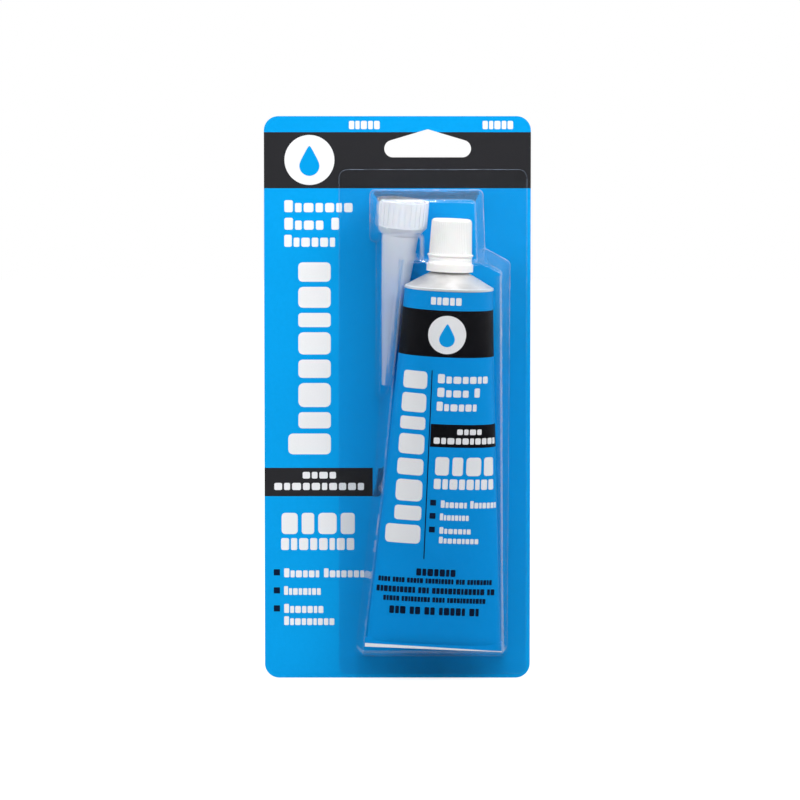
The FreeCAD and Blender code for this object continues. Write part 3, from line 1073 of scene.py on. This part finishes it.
@dataclass
class FormedSheet:
    """The clear sheet: the CAD solid's shape with its seams merged, held a hair off the card."""

    seal_face: float = -0.6
    film_gap: float = 0.04
    flange_face: float = -1.0
    slack: float = 0.02
    merged: float = 0.002
    smooth: float = 32.0
    sharp: float = 40.0
    bead_smooth: float = 60.0
    edge_bead: float = 0.06
    fold_bead: float = 0.2

    def build(self) -> None:
        """Copy, merge, lift and dress the sheet."""
        mesh = bmesh.new()
        mesh.from_mesh(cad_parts["blister"].data)
        bmesh.ops.remove_doubles(mesh, verts=mesh.verts[:], dist=self.merged * MM)
        for vertex in mesh.verts:
            vertex.co.y = min(vertex.co.y, (self.seal_face - self.film_gap) * MM)
        lines = self.flange_lines(mesh)
        finish = ClearSheet().make()
        sheet = add_piece("clear_formed_sheet", mesh, finish, self.smooth)
        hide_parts("blister")
        self.lay_beads(lines)

    def flange_lines(self, mesh: bmesh.types.BMesh) -> list[list[Vector]]:
        """Follow the lines where the flange ends or turns up into a pocket.

        Args:
            mesh: the merged sheet.

        Returns:
            The lines' points, in metres. A closed line ends where it starts.
        """
        def on_face(vertex: bmesh.types.BMVert) -> bool:
            """Tell whether a vertex lies on the flange's front."""
            return abs(vertex.co.y / MM - self.flange_face) < self.slack

        left = dict.fromkeys(edge for edge in mesh.edges if all(on_face(vertex) for vertex in edge.verts)
                             and edge.calc_face_angle(0.0) > math.radians(self.sharp))
        lines = []
        while left:
            edge = left.popitem()[0]
            first, here = edge.verts
            line = [first.co.copy()]
            while edge is not None:
                line.append(here.co.copy())
                edge = next((other for other in here.link_edges if other in left), None)
                if edge is not None:
                    del left[edge]
                    here = edge.other_vert(here)
            lines.append(line)
        return lines

    def lay_beads(self, lines: list[list[Vector]]) -> None:
        """Lay a thin bead on each line, which carries a painted highlight where the sheet's turned edge
        gathers light.

        Args:
            lines: the lines.
        """
        outer = max(lines, key=lambda line: max(point.x for point in line))
        beads = bmesh.new()
        for line in lines:
            closed = (line[0] - line[-1]).length < self.slack * MM
            places = line[:-1] if closed else line
            curve = bpy.data.curves.new("bead", "CURVE")
            curve.dimensions = "3D"
            curve.bevel_depth = (self.edge_bead if line is outer else self.fold_bead) * MM
            curve.bevel_resolution = 1
            curve.use_fill_caps = True
            spline = curve.splines.new("POLY")
            spline.points.add(len(places) - 1)
            for point, place in zip(spline.points, places):
                point.co = (*place, 1.0)
            spline.use_cyclic_u = closed
            holder = bpy.data.objects.new("bead", curve)
            tube = bpy.data.meshes.new_from_object(holder)
            beads.from_mesh(tube)
            bpy.data.objects.remove(holder)
            bpy.data.curves.remove(curve)
            bpy.data.meshes.remove(tube)
        LOG.info("sheet: %d beads", len(lines))
        add_piece("sheet_fold_glint_beads", beads, SheetEdgeGlint().make(), self.bead_smooth)


@dataclass
class SealantTube:
    """The tube: its finish, the print round its front, and the thread of its neck."""

    rim: Vector
    lean: Matrix
    thread_foot: float = 8.2
    thread_turns: float = 4.0
    thread_pitch: float = 2.5
    thread_root: float = 6.85
    thread_crest: float = 7.22
    thread_steps: int = 160
    thread_smooth: float = 40.0

    def build(self) -> None:
        """Dress the tube, lay its print and wind its thread."""
        place = Matrix.Translation(self.rim) @ self.lean
        dress("tube", TubeSkinFinish(self.rim * MM, self.lean.to_euler("XYZ")).make())
        TUBE_PRINT.lay(TubeSurface(place, "tube").on)
        self.wind_thread(place)

    def wind_thread(self, place: Matrix) -> None:
        """Wind the neck's thread as one ridge, swept round the axis.

        Args:
            place: the tube's axes in the frame, in millimetres.
        """
        mesh = bmesh.new()
        half = self.thread_pitch / 4
        corners = ((self.thread_root, -half), (self.thread_crest, -half / 3), (self.thread_crest, half / 3),
                   (self.thread_root, half))
        start = [mesh.verts.new((radius, 0, self.thread_foot + rise)) for radius, rise in corners]
        face = mesh.faces.new(start)
        rise = Vector((0, 0, self.thread_pitch * self.thread_turns / self.thread_steps))
        bmesh.ops.spin(mesh, geom=[face] + face.edges[:] + face.verts[:], cent=(0, 0, 0), axis=(0, 0, 1),
                       dvec=rise, angle=2 * math.pi * self.thread_turns, steps=self.thread_steps,
                       use_duplicate=False)
        bmesh.ops.remove_doubles(mesh, verts=mesh.verts[:], dist=0.001)
        bmesh.ops.recalc_face_normals(mesh, faces=mesh.faces[:])
        bmesh.ops.transform(mesh, matrix=Matrix.Scale(MM, 4) @ place, verts=mesh.verts[:])
        add_piece("neck_thread", mesh, BARE_METAL.make(), self.thread_smooth)


@dataclass(frozen=True)
class Lamp:
    """A soft box that faces the pack: its place and its width and height in metres, its power in watts."""

    name: str
    place: Vector
    size: Point
    power: float


@dataclass
class Studio:
    """The camera, the lamps, the pale floor and the white surroundings."""

    look_at: Vector = Vector((-11.5, 0.0, -112.8))
    distance: float = 1500.0
    elevation: float = 3.5
    lens: float = 161.5
    clip: Point = (0.05, 20.0)
    lamps: tuple[Lamp, ...] = (
        Lamp("left_box", Vector((-0.95, -0.75, 0.75)), (0.7, 0.7), 10.1),
        Lamp("right_box", Vector((0.95, -0.75, 0.75)), (0.7, 0.7), 13.2),
        Lamp("front_box", Vector((0.12, -0.95, 0.95)), (0.9, 0.5), 5.3),
        Lamp("overhead_box", Vector((0.0, -0.25, 1.1)), (0.055, 0.24), 5.4),
    )
    ambient: Point = (0.14, 1.0)
    ambient_turn: Point = (-0.05, 0.7)
    glow: Point = (0.04, 1.0)
    glow_turn: Point = (-0.25, 0.10)
    below_glow: Point = (0.15, 1.0)
    below_turn: Point = (-0.4, 0.0)
    floor_gap: float = 0.2
    floor_size: float = 6.0
    floor_reach: Point = (0.3, 1.6)
    floor_glow: Point = (0.72, 0.94)

    def camera(self) -> None:
        """Stand the camera where the photograph was taken from."""
        data = bpy.data.cameras.new("camera")
        data.lens = self.lens
        data.clip_start, data.clip_end = self.clip
        tilt = math.radians(self.elevation)
        back = Vector((0, -math.cos(tilt), math.sin(tilt)))
        bpy.context.scene.camera = self.aimed("camera", data, (self.look_at + back * self.distance) * MM)

    def aimed(self, name: str, data: bpy.types.ID, place: Vector) -> bpy.types.Object:
        """Set up a camera or a lamp that faces the pack.

        Args:
            name: its name.
            data: its data.
            place: where it stands, in metres.

        Returns:
            The object.
        """
        made = bpy.data.objects.new(name, data)
        made.location = place
        made.rotation_mode = "QUATERNION"
        made.rotation_quaternion = (self.look_at * MM - place).to_track_quat("-Z", "Y")
        bpy.context.scene.collection.objects.link(made)
        return made

    def world(self) -> None:
        """Surround the pack with white behind it and dim grey before it, with less to mirror below."""
        world = bpy.data.worlds.new("studio")
        bpy.context.scene.world = world
        world.use_nodes = True
        graph = Nodes(world.node_tree)
        path = graph.node("LightPath").outputs
        _, back, up = graph.split(graph.node("TexCoord").outputs["Generated"])
        soft = graph.span(back, self.ambient_turn, self.ambient)
        mirrored = graph.times(graph.span(back, self.glow_turn, self.glow),
                               graph.span(up, self.below_turn, self.below_glow))
        unseen = graph.node("Mix", {0: path["Is Glossy Ray"], 2: soft, 3: mirrored}).outputs[0]
        strength = graph.node("Mix", {0: path["Is Camera Ray"], 2: unseen, 3: 1.0}).outputs[0]
        white = graph.node("Background", {"Color": (1.0, 1.0, 1.0), "Strength": strength})
        graph.node("OutputWorld", {0: white.outputs[0]})

    def floor(self) -> None:
        """Lay the pale floor under the card."""
        mesh = bmesh.new()
        place = Matrix.Translation((0, 0, CAD_BOX[0].z - self.floor_gap * MM))
        bmesh.ops.create_grid(mesh, x_segments=1, y_segments=1, size=self.floor_size, matrix=place)
        graph = Graph("pale_floor")
        seen = graph.node("LightPath").outputs["Is Camera Ray"]
        away = graph.node("VectorMath", {0: graph.node("TexCoord").outputs["Object"]}, operation="LENGTH")
        glow = graph.span(away.outputs["Value"], self.floor_reach, self.floor_glow, smooth=True)
        graph.finish(Base_Color=(0.45, 0.45, 0.45), Roughness=0.9, Emission_Color=(1.0, 1.0, 1.0),
                     Emission_Strength=graph.times(seen, glow), Specular_IOR_Level=0.0)
        floor = link_mesh("floor", mesh, graph.material)
        floor.visible_glossy = False

    def build(self) -> None:
        """Set up camera, lamps, world and floor."""
        self.camera()
        for lamp in self.lamps:
            data = bpy.data.lights.new(lamp.name, "AREA")
            data.shape = "RECTANGLE"
            data.size, data.size_y = lamp.size
            data.energy = lamp.power
            self.aimed(lamp.name, data, lamp.place)
        self.world()
        self.floor()
        bpy.context.scene.view_settings.view_transform = "Standard"
        LOG.info("studio: %d lamps", len(self.lamps))


def main() -> None:
    """Build the pack's looks in order."""
    logging.basicConfig(level=logging.INFO, format="%(name)s: %(message)s", stream=sys.stdout)
    lean, tilt = (Matrix.Rotation(math.radians(x), 4, "X") @ Matrix.Rotation(math.radians(y), 4, "Y")
                  for x, y in (TUBE_TURNS, NOZZLE_TURNS))
    dress("card", PrintedBoard().make())
    CARD_PRINT.lay(on_card)
    FormedSheet().build()
    SealantTube(TUBE_RIM, lean).build()
    dress("cap", CAP_PLASTIC.make())
    dress("cap_liner", LINER_FOAM.make())
    dress("nozzle", NaturalPlastic(NOZZLE_TOP * MM, tilt.to_euler("XYZ")).make())
    Studio().build()


if __name__ == "__main__":
    main()
